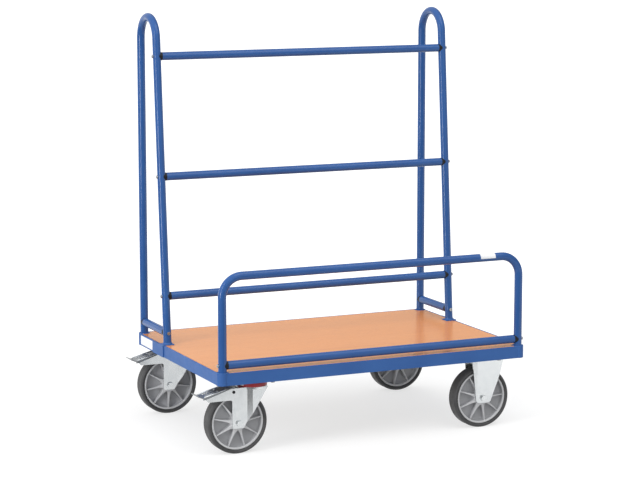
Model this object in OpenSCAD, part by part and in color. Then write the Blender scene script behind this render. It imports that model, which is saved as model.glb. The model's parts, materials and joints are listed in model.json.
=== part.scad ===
// One-sided sheet trolley: a steel platform with a flush wooden deck, a leaning back of three
// tube rails between two hairpin end frames, a low front hoop, two braked swivel castors on the
// left and two fixed castors on the right.
// X runs left to right, Y front to back and Z up. The origin is on the floor under the middle
// of the platform.

/* [Platform] */
// Outer length of the platform, left to right
frame_l = 1080; // [900:1:1300]
// Outer depth of the platform, front to back
frame_w = 740; // [680:1:900]
// Height of the edge rails
rail_h = 40; // [36:1:50]
// Thickness of the edge rails
rail_t = 4; // [3:0.5:5]
// Width of the ledge that carries the deck
ledge_w = 28; // [20:1:40]
// Thickness of that ledge
ledge_t = 4; // [3:0.5:6]
// Thickness of the deck board
board_t = 16; // [12:1:20]
// Gap between the deck board and the rails
board_gap = 1; // [0.5:0.1:3]
// Height of the two bearers under the deck
bearer_h = 15; // [14:0.5:25]
// How far a bearer runs past the castor plates under it
bearer_edge = 2.5; // [0.5:0.5:20]
// Thickness of the bearers
bearer_t = 4; // [3:0.5:5]

/* [Tubes and sockets] */
// Outer diameter of every tube
tube_d = 26.9; // [22:0.1:30]
// Wall of every tube
tube_t = 2.6; // [2:0.1:3.5]
// Outer diameter of the corner sockets
socket_d = 38; // [36:0.5:44]
// Distance of a post's middle from the outer faces of the rails
post_inset = 17; // [15:0.5:20]
// Radial play of a post in its socket
post_gap = 0.1; // [0.05:0.05:0.3]
// Height of the socket rims above the deck
socket_rise = 1; // [0.5:0.5:4]
// Depth of the screw recess under a socket
socket_recess = 8; // [7:0.5:10]
// Thickness of the base that a post stands on
socket_base = 4; // [3:0.5:6]
// Length of the plug in the foot of a post
post_plug = 20; // [14:1:24]

/* [Front hoop] */
// Height of the top tube's middle above the deck
hoop_h = 300; // [200:1:500]
// Bend radius of the hoop, to the middle of the tube
hoop_bend = 65; // [45:1:90]
// Height of the lower rail's middle above the deck
low_rail_h = 22; // [20:1:60]

/* [Leaning back] */
// Height of the hairpin frames above the deck
a_top = 1082; // [900:1:1300]
// Lean of the front legs
leg_lean = 4.29; // [3:0.01:5]
// Place of the front legs on the deck, behind the middle
foot_y = 131; // [100:1:150]
// Height of the lowest back rail above the deck
back_rail_h = 160; // [120:1:240]
// Distance from one back rail to the next
back_rail_pitch = 392; // [250:1:400]
// Height of the short tie rails above the deck
tie_h = 39; // [32:1:80]
// Thickness of the foot brackets
foot_t = 3; // [2:0.5:6]
// Length of a foot bracket on the deck
foot_l = 34; // [34:1:60]
// Reach of a foot bracket inwards from the leg's middle
foot_in = 18; // [16:1:30]
// Length of the tab over the side rail
tab_l = 96; // [60:1:120]
// How far the tab starts ahead of the leg's middle
tab_lead = 9; // [4:1:15]
// Height of the weld collar round a leg
collar_h = 5; // [3:0.5:8]
// Width of the weld collar on its bracket
collar_w = 3; // [2:0.5:3]

/* [Rail ends] */
// Thickness of a saddle between a leg and the end of a rail
saddle_t = 3; // [2:0.5:6]
// Distance of the saddle's wing tips from the middle of the leg
saddle_wing = 3.5; // [3:0.5:8]
// Length of the spigot inside the rail
spigot_l = 18; // [12:1:30]
// Diameter of the rail screws
rail_screw_d = 6; // [5:0.5:8]
// Diameter of their heads
rail_head_d = 11; // [10:0.5:12]
// Height of their heads
rail_head_h = 4; // [3:0.5:6]
// Diameter of the screws that hold the posts
post_screw_d = 8; // [6:0.5:10]

/* [Wheels] */
// Wheel diameter
wheel_d = 200; // [160:1:250]
// Width of the tyre
tyre_w = 46; // [36:1:60]
// Thickness of the tyre
tyre_t = 13.5; // [10:0.5:20]
// Thickness of the bond between rim and tyre
bond_t = 0.4; // [0.3:0.1:1]
// Radius of the tyre's shoulders
shoulder_r = 7; // [4:0.5:9]
// Width of the rim's outer ring
rim_ring = 6; // [4:0.5:10]
// Radius of the hub
hub_r = 24; // [21:0.5:30]
// Thickness of the web between hub and ring
web_t = 7; // [4:0.5:12]
// Number of ribs on each side
ribs = 9; // [5:1:12]
// Thickness of a rib at the ring
rib_tip = 4; // [3:0.5:6]
// Thickness of a rib at the hub
rib_root = 13; // [8:0.5:14]
// Axle diameter
axle_d = 12; // [10:0.5:16]
// Outer diameter of the bearings
bearing_d = 32; // [26:0.5:36]
// Length of a bearing
bearing_l = 14; // [10:0.5:16]

/* [Castors] */
// Distance of a castor's top plate from the end of the platform
castor_end = 68.5; // [40:0.5:150]
// Distance of a castor's top plate from the long side of the platform
castor_side = 9; // [7:0.5:60]
// Length of a castor's top plate
plate_l = 135; // [130:1:138]
// Width of a castor's top plate
plate_w = 110; // [108:1:114]
// Thickness of a castor's top plate
plate_t = 6; // [5:0.5:8]
// Corner radius of a castor's top plate
plate_r = 10; // [5:0.5:15]
// Distance of the bolts from the ends of the plate
bolt_edge_x = 15; // [12:0.5:20]
// Distance of the bolts from the long sides of the plate
bolt_edge_y = 12.5; // [10:0.5:15]
// Diameter of the castor bolts
bolt_d = 8; // [6:0.5:8]
// Width across the flats of the castor bolts
bolt_af = 13; // [10:0.5:13]
// Offset of a swivel wheel from its kingpin
trail = 58; // [45:1:70]
// Gap between a tyre and the crown of its fork
crown_gap = 7.5; // [6:0.5:15]
// Thickness of the crown
crown_t = 6; // [5:0.5:8]
// Radius of the round part of the crown
crown_r = 47; // [44:0.5:52]
// Diameter of the swivel balls
ball_d = 8; // [6:0.5:9]
// Number of swivel balls
balls = 16; // [10:1:18]
// Radius of the ball circle
ball_ring_r = 31; // [28:0.5:33]
// Height of the raceway boss under the top plate
boss_h = 7.15; // [6:0.05:10]
// Radius of the raceway boss
boss_r = 38; // [37:0.5:39]
// Height of the red seal ring
seal_h = 12; // [8:0.5:13]
// Wall of the red seal ring
seal_wall = 6; // [3:0.5:6]
// Kingpin diameter
kingpin_d = 16; // [12:0.5:18]
// Thickness of the fork legs
leg_t = 4; // [3:0.5:5]
// Clearance between the tyre and the fork legs
fork_clear = 6.5; // [6:0.5:10]
// Half width of a fixed fork's leg at the axle
leg_half = 25.5; // [20:0.5:30]
// Reach of a swivel fork's leg in front of the axle
leg_heel = 23; // [18:0.5:28]
// Depth of a leg below the axle
leg_drop = 16; // [13:0.5:22]
// Outward step of a swivel fork's legs beside the crown
leg_step = 10; // [6:0.5:11]

/* [Brake pedal] */
// Reach of the fork's arms past the tyre
arm_reach = 12; // [6:1:25]
// Reach of the pedal past the tyre
pedal_reach = 36; // [28:1:45]
// Height of the pedal's pivot above the top of the tyre
pivot_rise = 1.5; // [0.5:0.5:4]
// Distance of the pivot ahead of the axle
pivot_back = 18; // [14:1:24]
// Diameter of the pivot pins
pivot_d = 7; // [5:0.5:8]
// Thickness of the pedal's sheet
pedal_t = 2.5; // [2:0.5:3]
// Slope of the pedal
pedal_slope = 14.5; // [10:0.5:15]
// Travel of the pedal
pedal_travel = 12; // [6:1:14]
// Width of the brake shoe
shoe_w = 32; // [20:1:40]

/* [Hidden] */
$fn = 48;
// Fine gap between pieces that are clamped or pressed together
seat_gap = 0.05;
// Radial play of a pin that turns
run_gap = 0.05;
// Radial play of a screw in its hole
screw_gap = 0.2;
// Overlap of a cut past the face it opens
over = 1;

tube_r = tube_d / 2;
tube_bore = tube_d - 2 * tube_t;
socket_r = socket_d / 2;
face_x = frame_l / 2;
face_y = frame_w / 2;
post_x = face_x - post_inset;
post_y = face_y - post_inset;
inner_x = face_x - rail_t;
inner_y = face_y - rail_t;

wheel_r = wheel_d / 2;
rim_r = wheel_r - tyre_t;
fork_in = tyre_w / 2 + fork_clear;
fork_out = fork_in + leg_t;
crown_z0 = wheel_d + crown_gap;
crown_z1 = crown_z0 + crown_t;
ball_lift = 0.3;
boss_z0 = crown_z1 + seat_gap + ball_d + ball_lift;
plate_z0 = boss_z0 + boss_h;
plate_z1 = plate_z0 + plate_t;
web_z1 = plate_z1 + bearer_t;
ledge_z0 = plate_z1 + bearer_h;
board_z0 = ledge_z0 + ledge_t;
deck_z = board_z0 + board_t;
rail_z0 = deck_z - rail_h;
seat_z = rail_z0 + socket_recess + socket_base;
castor_x = face_x - castor_end - plate_l / 2;
castor_y = face_y - castor_side - plate_w / 2;
bearer_w = plate_l + 2 * bearer_edge;
bolt_dx = plate_l - 2 * bolt_edge_x;
bolt_dy = plate_w - 2 * bolt_edge_y;

hoop_z = deck_z + hoop_h;
low_z = deck_z + low_rail_h;
tie_z = deck_z + tie_h;
foot_z = deck_z + foot_t;
back_rail_z = [for (i = [0:2]) deck_z + back_rail_h + i * back_rail_pitch];
lean_tan = tan(leg_lean);
lean_cos = cos(leg_lean);
lean_sin = sin(leg_lean);
// The top bend touches the upright back leg and the leaning front leg and ends at the stated height
top_span = post_y - foot_y - lean_tan * (a_top - tube_r);
a_bend = lean_cos * top_span / (1 + lean_cos - lean_tan * lean_cos);
bend_z = deck_z + a_top - tube_r - a_bend;
bend_lap = 1;
draw_in = 0.1;

rail_end = tube_r + saddle_t;
rail_screw_hole = rail_screw_d + 2 * screw_gap;
hex_ratio = 2 / sqrt(3);
head_ratio = 1.6;
nut_ratio = 1.5;
rail_key = 4;
collar_edge = 1;
post_head_h = 5.5;
bolt_head_h = 5.3;
bolt_nut_h = 6.5;
bolt_end = 2;

// Wheel: gap beside a bearing, half lengths of hub and ring, and the ribs
bearing_end = fork_in - 1;
hub_half = bearing_end - 1;
ring_half = tyre_w / 2 - 3;
rib_high = hub_half - 2;
rib_low = ring_half - 4;
rib_flare = 24;
// Turn of each wheel about its axle
front_left_turn = 8;
rear_left_turn = 30;
front_right_turn = 1.5;
rear_right_turn = 20;
spacer_wall = 3;
axle_af = axle_d * nut_ratio;
axle_head_h = 7.5;
axle_nut_h = 10;
axle_end = 2;

// Kingpin
kingpin_head_d = kingpin_d + 12;
kingpin_head_h = 5;
kingpin_nut_h = 8;
nut_room = 0.3;

// Swivel fork, measured from the axle
leg_toe = 15;
leg_far = trail + 36;
leg_corner = 6;
fold_from = 27.5;
fold_to = 42;
crown_back = 0;
arm_under = 24;
arm_end = 9;
pivot_boss = 7;
pivot_z = wheel_r + pivot_rise;

// Pedal and shoe
pedal_half = fork_in - 0.7;
pedal_head = 14.5;
pedal_bend = 6;
lip_rise = 7;
flange_h = 7;
slot_l = 42;
slot_w = 8;
slot_x = -wheel_r - arm_reach + 6;
pin_stand = 0.5;
pin_lip = 1.5;
pin_head_h = 1.5;
shoe_from = 108;
shoe_to = 126;
shoe_gap = 0.5;
shoe_room = 30;

// Fixed fork, measured from the axle
fixed_corner = 12;
fixed_toe = 30;
fixed_far = 75;
fixed_edge = 38;
fixed_fold = 22;
fixed_bend = 15;
fixed_top = plate_z0 - wheel_r + over;
// The back edge of the leg swells a little between its toe and the plate
fixed_swell = 5;
fixed_back = [for (t = [0.2:0.2:1])
    [fixed_toe + t * (fixed_far - fixed_toe) + fixed_swell * sin(180 * t), t * fixed_top]];

frame_blue = [0.22, 0.39, 0.66];
board_tan = [0.91, 0.67, 0.48];
zinc = [0.83, 0.85, 0.86];
rim_grey = [0.55, 0.55, 0.56];
tyre_grey = [0.25, 0.25, 0.25];
black = [0.07, 0.07, 0.08];
seal_red = [0.62, 0.10, 0.13];

// Middle of a front leg at a height
function leg_y(z) = foot_y + lean_tan * (z - deck_z);

// Points along an arc, for the rounded corners of an outline
function arc(c, r, from, to, steps = 6) =
    [for (i = [0:steps]) c + r * [cos(from + (to - from) * i / steps), sin(from + (to - from) * i / steps)]];

module rounded_plate(l, w, r, h) {
    linear_extrude(h) {
        square([l - 2 * r, w], center = true);
        square([l, w - 2 * r], center = true);
        for (x = [-1, 1], y = [-1, 1])
            translate([x * (l / 2 - r), y * (w / 2 - r)])
                circle(r);
    }
}

module hexagon(af, h) {
    cylinder(d = af * hex_ratio, h = h, $fn = 6);
}

module tube_ring() {
    difference() {
        circle(d = tube_d);
        circle(d = tube_bore);
    }
}

module tube_run(l) {
    linear_extrude(l)
        tube_ring();
}

module tube_bend(r, a) {
    rotate_extrude(angle = a)
        translate([r, 0])
            tube_ring();
}

// Upright post with a plug and a screw hole in its foot
module post_run(l) {
    difference() {
        cylinder(d = tube_d, h = l);
        translate([0, 0, post_plug])
            cylinder(d = tube_bore, h = l);
        translate([0, 0, -over])
            cylinder(d = post_screw_d + 2 * seat_gap, h = post_plug + 2 * over);
    }
}

module along_x(l) {
    translate([-l / 2, 0, 0])
        rotate([0, 90, 0])
            tube_run(l);
}

// Platform

module socket_space() {
    for (x = [-1, 1], y = [-1, 1])
        translate([x * post_x, y * post_y, rail_z0 - over])
            cylinder(r = socket_r + seat_gap, h = rail_h + 2 * over);
}

// Edge rail between two posts: an upright face with a ledge for the deck, drawn along X with its
// face at y = 0. The ledge stops short of the sockets
module edge_rail(post) {
    ledge_end = post - socket_r - board_gap;
    translate([-post, 0, rail_z0])
        cube([2 * post, rail_t, rail_h]);
    translate([-ledge_end, 0, ledge_z0])
        cube([2 * ledge_end, rail_t + ledge_w, ledge_t]);
}

module long_rail(s) {
    color(frame_blue)
        difference() {
            rotate([0, 0, s < 0 ? 0 : 180])
                translate([0, -face_y, 0])
                    edge_rail(post_x);
            socket_space();
        }
}

module side_rail(s) {
    color(frame_blue)
        difference() {
            rotate([0, 0, s < 0 ? -90 : 90])
                translate([0, -face_x, 0])
                    edge_rail(post_y);
            socket_space();
        }
}

module corner_socket(sx, sy) {
    color(frame_blue)
        translate([sx * post_x, sy * post_y, rail_z0])
            difference() {
                cylinder(r = socket_r, h = rail_h + socket_rise);
                translate([0, 0, socket_recess + socket_base])
                    cylinder(r = tube_r + post_gap, h = rail_h + socket_rise);
                translate([0, 0, -over])
                    cylinder(r = tube_r + post_gap, h = socket_recess + over);
                cylinder(d = post_screw_d + 2 * screw_gap, h = rail_h);
            }
}

module bolt_places() {
    for (x = [-1, 1], y = [-1, 1])
        translate([x * bolt_dx / 2, y * bolt_dy / 2, 0])
            children();
}

module bolt_holes(z, h) {
    bolt_places()
        translate([0, 0, z - over])
            cylinder(d = bolt_d + over, h = h + 2 * over);
}

// Shallow channel from the front rail to the rear rail, open at the top
module bearer(s) {
    color(frame_blue)
        difference() {
            translate([s * castor_x - bearer_w / 2, -inner_y, plate_z1])
                cube([bearer_w, 2 * inner_y, bearer_h]);
            translate([s * castor_x - bearer_w / 2 + bearer_t, -inner_y - over, web_z1])
                cube([bearer_w - 2 * bearer_t, 2 * (inner_y + over), bearer_h]);
            for (y = [-1, 1])
                translate([s * castor_x, y * castor_y, 0])
                    bolt_holes(plate_z1, bearer_t);
        }
}

module deck_board() {
    color(board_tan)
        difference() {
            translate([-inner_x + board_gap, -inner_y + board_gap, board_z0])
                cube([2 * (inner_x - board_gap), 2 * (inner_y - board_gap), board_t]);
            for (x = [-1, 1], y = [-1, 1])
                translate([x * post_x, y * post_y, board_z0 - over])
                    cylinder(r = socket_r + board_gap, h = board_t + 2 * over);
        }
}

// Front hoop

module front_hoop() {
    color(frame_blue)
        difference() {
            union() {
                for (s = [-1, 1])
                    translate([s * post_x, -post_y, seat_z])
                        post_run(hoop_z - hoop_bend - seat_z);
                translate([0, -post_y, hoop_z - hoop_bend])
                    rotate([90, 0, 0]) {
                        translate([post_x - hoop_bend, 0, 0])
                            tube_bend(hoop_bend, 90);
                        translate([hoop_bend - post_x, 0, 0])
                            rotate([0, 0, 90])
                                tube_bend(hoop_bend, 90);
                    }
                translate([0, -post_y, hoop_z])
                    along_x(2 * (post_x - hoop_bend));
            }
            for (s = [-1, 1])
                translate([s * post_x, -post_y, low_z])
                    rotate([0, 90, 0])
                        cylinder(d = rail_screw_hole, h = tube_d + 2 * over, center = true);
        }
}

module front_lower_rail() {
    color(frame_blue)
        translate([0, -post_y, low_z])
            along_x(2 * (post_x - rail_end));
}

// Leaning back

// Top bend: its wall draws in a little, and its ends run on into the straight legs
module top_bend() {
    lap = asin(bend_lap / a_bend);
    rotate([0, 0, -lap])
        rotate_extrude(angle = 180 - leg_lean + 2 * lap)
            translate([a_bend, 0])
                difference() {
                    circle(d = tube_d - draw_in);
                    circle(d = tube_bore + draw_in);
                }
}

// Top bend and the leaning front leg that runs on from its end
module leaning_leg() {
    drop = bend_z + a_bend * lean_sin - foot_z;
    translate([0, post_y - a_bend, bend_z])
        rotate([90, 0, 90]) {
            top_bend();
            rotate([0, 0, 180 - leg_lean])
                translate([a_bend, 0, 0])
                    rotate([-90, 0, 0])
                        tube_run(drop / lean_cos + tube_d);
        }
}

// A-frame at one end: one tube, from the rear socket up, over and down to the foot on the deck
module a_frame(s) {
    color(frame_blue)
        translate([s * post_x, 0, 0])
            difference() {
                union() {
                    translate([0, post_y, seat_z])
                        post_run(bend_z - seat_z);
                    leaning_leg();
                }
                translate([-tube_d, foot_y - 2 * tube_d, foot_z - 2 * tube_d])
                    cube([2 * tube_d, 4 * tube_d, 2 * tube_d]);
                for (z = back_rail_z)
                    translate([0, leg_y(z), z])
                        rotate([0, 90, 0])
                            cylinder(d = rail_screw_hole, h = tube_d + 2 * over, center = true);
                for (y = [leg_y(tie_z), post_y])
                    translate([0, y, tie_z])
                        rotate([90, 0, 0])
                            cylinder(d = rail_screw_hole, h = tube_d + 2 * over, center = true);
            }
}

// Bracket under a front leg: a plate on the deck, a tab folded down over the side rail and a weld collar
module foot(s) {
    color(frame_blue)
        mirror([s < 0 ? 1 : 0, 0, 0]) {
            translate([post_x - foot_in, foot_y - foot_l / 2, deck_z])
                cube([face_x - post_x + foot_in + foot_t, foot_l, foot_t]);
            translate([face_x, foot_y - tab_lead, rail_z0])
                cube([foot_t, tab_l, rail_h]);
            translate([post_x, leg_y(foot_z), foot_z])
                difference() {
                    cylinder(r1 = tube_r + collar_w, r2 = tube_r + collar_edge, h = collar_h);
                    rotate([-leg_lean, 0, 0])
                        cylinder(r = tube_r + seat_gap, h = 2 * tube_d, center = true);
                }
        }
}

module tie_rail(s) {
    color(frame_blue)
        translate([s * post_x, leg_y(tie_z) + rail_end, tie_z])
            rotate([-90, 0, 0])
                tube_run(post_y - leg_y(tie_z) - 2 * rail_end);
}

module back_rail(i) {
    color(frame_blue)
        translate([0, leg_y(back_rail_z[i]), back_rail_z[i]])
            along_x(2 * (post_x - rail_end));
}

// Rail ends. Each joint is a place on a leg's middle, a turn about Z that points X along the rail,
// and the lean of the leg seen from there

rail_joints = concat(
    [for (z = back_rail_z, s = [-1, 1]) [[s * post_x, leg_y(z), z], s < 0 ? 0 : 180, [s * leg_lean, 0, 0]]],
    [for (s = [-1, 1]) [[s * post_x, -post_y, low_z], s < 0 ? 0 : 180, [0, 0, 0]]],
    [for (s = [-1, 1]) [[s * post_x, post_y, tie_z], -90, [0, 0, 0]]],
    [for (s = [-1, 1]) [[s * post_x, leg_y(tie_z), tie_z], 90, [0, leg_lean, 0]]]
);

// Room under a screw head, wider where the screw meets the leg at an angle
function head_room(lean) =
    tube_r / cos(lean[1]) + tan(lean[1]) * rail_head_d / 2 + seat_gap;

module rail_saddle(lean) {
    difference() {
        rotate([0, 90, 0]) {
            translate([0, 0, saddle_wing])
                cylinder(d = tube_d, h = rail_end - saddle_wing);
            translate([0, 0, rail_end - over])
                cylinder(d = tube_bore - 2 * screw_gap, h = spigot_l + over);
        }
        rotate(lean)
            cylinder(r = tube_r + seat_gap, h = 4 * tube_d, center = true);
        rotate([0, 90, 0])
            cylinder(d = rail_screw_d + 2 * seat_gap, h = rail_end + spigot_l + over);
    }
}

module rail_saddles() {
    color(black)
        for (j = rail_joints)
            translate(j[0])
                rotate([0, 0, j[1]])
                    rail_saddle(j[2]);
}

module rail_screw(room) {
    rotate([0, 90, 0])
        difference() {
            union() {
                translate([0, 0, -room - rail_head_h])
                    cylinder(d = rail_head_d, h = rail_head_h);
                translate([0, 0, -room - over])
                    cylinder(d = rail_screw_d, h = room + rail_end + spigot_l);
            }
            translate([0, 0, -room - rail_head_h - over])
                hexagon(rail_key, rail_head_h / 2 + over);
        }
}

module rail_screws() {
    color(zinc)
        for (j = rail_joints)
            translate(j[0])
                rotate([0, 0, j[1]])
                    rail_screw(head_room(j[2]));
}

module post_screws() {
    color(zinc)
        for (x = [-1, 1], y = [-1, 1])
            translate([x * post_x, y * post_y, rail_z0 + socket_recess]) {
                translate([0, 0, -post_head_h])
                    cylinder(d = post_screw_d * head_ratio, h = post_head_h);
                translate([0, 0, -over])
                    cylinder(d = post_screw_d, h = over + socket_base + post_plug - 2 * over);
            }
}

module castor_bolts() {
    color(zinc)
        for (x = [-1, 1], y = [-1, 1])
            translate([x * castor_x, y * castor_y, 0])
                bolt_places() {
                    translate([0, 0, plate_z0 - bolt_head_h])
                        hexagon(bolt_af, bolt_head_h);
                    translate([0, 0, plate_z0 - over])
                        cylinder(d = bolt_d, h = web_z1 + bolt_nut_h + bolt_end - plate_z0 + over);
                    translate([0, 0, web_z1])
                        difference() {
                            hexagon(bolt_af, bolt_nut_h);
                            translate([0, 0, -over])
                                cylinder(d = bolt_d + 2 * seat_gap, h = bolt_nut_h + 2 * over);
                        }
                }
}

// Wheels, drawn on the Z axis and turned to lie along Y

module at_axle(s, y) {
    translate([s * castor_x - (s < 0 ? trail : 0), y * castor_y, wheel_r])
        rotate([90, 0, 0])
            children();
}

module band(r0, r1, half) {
    translate([r0, -half])
        square([r1 - r0, 2 * half]);
}

function reverse(list) = [for (i = [len(list) - 1:-1:0]) list[i]];

// Ribs are tallest and widest where they grow out of the hub
module rim_rib() {
    inner = hub_r - over;
    outer = rim_r - rim_ring + over;
    rib_widths = [[inner, rib_root], [hub_r + rib_flare / 3, (rib_root + rib_tip) / 2],
                  [hub_r + rib_flare, rib_tip], [outer, rib_tip]];
    intersection() {
        rotate([90, 0, 0])
            linear_extrude(2 * rib_root, center = true)
                polygon([[inner, -rib_high], [outer, -rib_low], [outer, rib_low], [inner, rib_high]]);
        linear_extrude(2 * fork_in, center = true)
            polygon(concat([for (w = rib_widths) [w[0], -w[1] / 2]],
                           [for (w = reverse(rib_widths)) [w[0], w[1] / 2]]));
    }
}

module rim(s, y, turn) {
    color(rim_grey)
        at_axle(s, y) {
            rotate_extrude() {
                band(bearing_d / 2 + seat_gap, hub_r, hub_half);
                band(hub_r - over, rim_r - rim_ring + over, web_t / 2);
                band(rim_r - rim_ring, rim_r, ring_half);
            }
            for (i = [0:ribs - 1])
                rotate([0, 0, turn + i * 360 / ribs])
                    rim_rib();
        }
}

module tyre(s, y) {
    color(tyre_grey)
        at_axle(s, y)
            rotate_extrude()
                difference() {
                    union() {
                        band(wheel_r - shoulder_r, wheel_r, tyre_w / 2 - shoulder_r);
                        for (side = [-1, 1])
                            translate([wheel_r - shoulder_r, side * (tyre_w / 2 - shoulder_r)])
                                circle(shoulder_r);
                        polygon([[rim_r, -ring_half], [wheel_r - shoulder_r, -tyre_w / 2],
                                 [wheel_r - shoulder_r, tyre_w / 2], [rim_r, ring_half]]);
                    }
                    band(rim_r - tyre_t, rim_r + bond_t, tyre_w);
                }
}

// Two bearings with a spacer between them
module bearings(s, y) {
    color(zinc)
        at_axle(s, y)
            rotate_extrude() {
                for (side = [-1, 1])
                    translate([0, side * (bearing_end - bearing_l / 2)])
                        band(axle_d / 2 + run_gap, bearing_d / 2, bearing_l / 2);
                band(axle_d / 2 + run_gap, axle_d / 2 + spacer_wall, bearing_end - bearing_l - seat_gap);
            }
}

module axle(s, y) {
    color(zinc)
        at_axle(s, y) {
            translate([0, 0, fork_out])
                hexagon(axle_af, axle_head_h);
            translate([0, 0, -fork_out - axle_nut_h - axle_end])
                cylinder(d = axle_d, h = 2 * fork_out + axle_nut_h + axle_end + over);
            translate([0, 0, -fork_out - axle_nut_h])
                difference() {
                    hexagon(axle_af, axle_nut_h);
                    translate([0, 0, -over])
                        cylinder(d = axle_d + 2 * seat_gap, h = axle_nut_h + 2 * over);
                }
        }
}

// Swivel castors

module at_kingpin(y) {
    translate([-castor_x, y * castor_y, 0])
        children();
}

module castor_plate(y) {
    color(zinc)
        at_kingpin(y)
            difference() {
                union() {
                    translate([0, 0, plate_z0])
                        rounded_plate(plate_l, plate_w, plate_r, plate_t);
                    translate([0, 0, boss_z0])
                        cylinder(r = boss_r, h = boss_h + over);
                }
                translate([0, 0, boss_z0 - over])
                    cylinder(d = kingpin_d + 2 * seat_gap, h = plate_z1 - boss_z0 + 2 * over);
                translate([0, 0, plate_z1 - kingpin_head_h])
                    cylinder(d = kingpin_head_d + 2 * screw_gap, h = kingpin_head_h + over);
                bolt_holes(plate_z0, plate_t);
            }
}

// Pin through the plate and the crown, with a hexagon nut under the crown
module kingpin(y) {
    nut_z1 = crown_z0 - nut_room;
    color(zinc)
        at_kingpin(y) {
            translate([0, 0, plate_z1 - kingpin_head_h])
                cylinder(d = kingpin_head_d, h = kingpin_head_h - seat_gap);
            translate([0, 0, nut_z1 - kingpin_nut_h - over])
                cylinder(d = kingpin_d, h = plate_z1 - kingpin_head_h - nut_z1 + kingpin_nut_h + 2 * over);
            translate([0, 0, nut_z1 - kingpin_nut_h])
                hexagon(kingpin_d * nut_ratio, kingpin_nut_h);
        }
}

module swivel_balls(y) {
    color(zinc)
        at_kingpin(y)
            for (i = [0:balls - 1])
                rotate([0, 0, i * 360 / balls])
                    translate([ball_ring_r, 0, crown_z1 + seat_gap + ball_d / 2])
                        sphere(d = ball_d);
}

module seal_ring(y) {
    color(seal_red)
        at_kingpin(y)
            translate([0, 0, crown_z1])
                difference() {
                    cylinder(r = crown_r, h = seal_h);
                    translate([0, 0, -over])
                        cylinder(r = crown_r - seal_wall, h = seal_h + 2 * over);
                }
}

// Outline of a swivel fork's leg from the side, about the axle: a narrow heel, a slanting back edge
// up to the crown, and an arm that reaches out over the tyre to carry the pedal
module swivel_leg_side() {
    top = crown_z1 - wheel_r;
    slant = atan((top + leg_drop) / (leg_far - leg_toe));
    arm_z = wheel_r - arm_under;
    arm_tip = -wheel_r - arm_reach;
    polygon(concat(
        arc([leg_corner - leg_heel, leg_corner - leg_drop], leg_corner, 180, 270),
        arc([leg_toe - leg_corner * tan(slant / 2), leg_corner - leg_drop], leg_corner, 270, 270 + slant),
        [[leg_far, top], [-pivot_back - pivot_boss, top]],
        [[arm_tip, arm_z + arm_end], [arm_tip + arm_end, arm_z]],
        arc([-leg_heel - leg_corner, arm_z - leg_corner], leg_corner, 90, 0)
    ));
}

// The same leg from above: straight beside the wheel, then stepping out beside the crown
module swivel_leg_plan() {
    out = -wheel_r - arm_reach - over;
    far = leg_far + over;
    polygon([[out, fork_in], [fold_from, fork_in], [fold_to, fork_in + leg_step], [far, fork_in + leg_step],
             [far, fork_out + leg_step], [fold_to, fork_out + leg_step],
             [fold_from, fork_out], [out, fork_out]]);
}

module crown_plan() {
    wide = fork_out + leg_step;
    translate([trail, 0])
        circle(crown_r);
    polygon([[crown_back, -fork_out], [fold_from, -fork_out], [fold_to, -wide], [trail, -wide],
             [trail, wide], [fold_to, wide], [fold_from, fork_out], [crown_back, fork_out]]);
}

module swivel_fork(y) {
    color(zinc)
        translate([-castor_x - trail, y * castor_y, wheel_r])
            difference() {
                union() {
                    for (side = [0, 1])
                        mirror([0, side, 0])
                            intersection() {
                                translate([0, 0, -wheel_r])
                                    linear_extrude(crown_z1 + over)
                                        swivel_leg_plan();
                                rotate([90, 0, 0])
                                    translate([0, 0, -2 * fork_out])
                                        linear_extrude(4 * fork_out)
                                            swivel_leg_side();
                            }
                    translate([0, 0, crown_z0 - wheel_r])
                        linear_extrude(crown_t)
                            crown_plan();
                }
                rotate([90, 0, 0])
                    cylinder(d = axle_d + 2 * screw_gap, h = 4 * fork_out, center = true);
                translate([-pivot_back, 0, pivot_z])
                    rotate([90, 0, 0])
                        cylinder(d = pivot_d + 2 * run_gap, h = 4 * fork_out, center = true);
                translate([trail, 0, crown_z0 - wheel_r - over])
                    cylinder(d = kingpin_d + 2 * run_gap, h = crown_t + 2 * over);
            }
}

// Brake pedal

// Height of the pedal's top face above the axle
function pedal_top(x) = pivot_z + pedal_head + tan(pedal_slope) * (x + pivot_back);

module pedal_sheet() {
    x0 = -pivot_back + pivot_boss;
    x1 = -wheel_r - arm_reach - pedal_bend;
    x2 = -wheel_r - pedal_reach;
    z2 = pedal_top(x1) + lip_rise;
    polygon([[x0, pedal_top(x0)], [x1, pedal_top(x1)], [x2, z2],
             [x2, z2 - pedal_t], [x1, pedal_top(x1) - pedal_t], [x0, pedal_top(x0) - pedal_t]]);
}

module pedal_flange() {
    x0 = -pivot_back + pivot_boss;
    x1 = -wheel_r - arm_reach - pedal_bend;
    difference() {
        polygon([[x0, pedal_top(x0) - pedal_t / 2], [x1, pedal_top(x1) - pedal_t / 2],
                 [x1, pedal_top(x1) - flange_h], [-pivot_back - pivot_boss, pivot_z - pivot_boss],
                 [x0, pivot_z - pivot_boss]]);
        translate([-pivot_back, pivot_z])
            circle(d = pivot_d + 2 * run_gap);
    }
}

module pedal(y) {
    color(zinc)
        at_axle(-1, y)
            difference() {
                union() {
                    linear_extrude(2 * pedal_half, center = true)
                        pedal_sheet();
                    for (side = [-1, 1])
                        translate([0, 0, side * (pedal_half - pedal_t / 2)])
                            linear_extrude(pedal_t, center = true)
                                pedal_flange();
                }
                for (side = [-1, 1])
                    translate([slot_x, wheel_r / 2, side * pedal_half / 2 - slot_w / 2])
                        cube([slot_l, wheel_r, slot_w]);
            }
}

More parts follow.
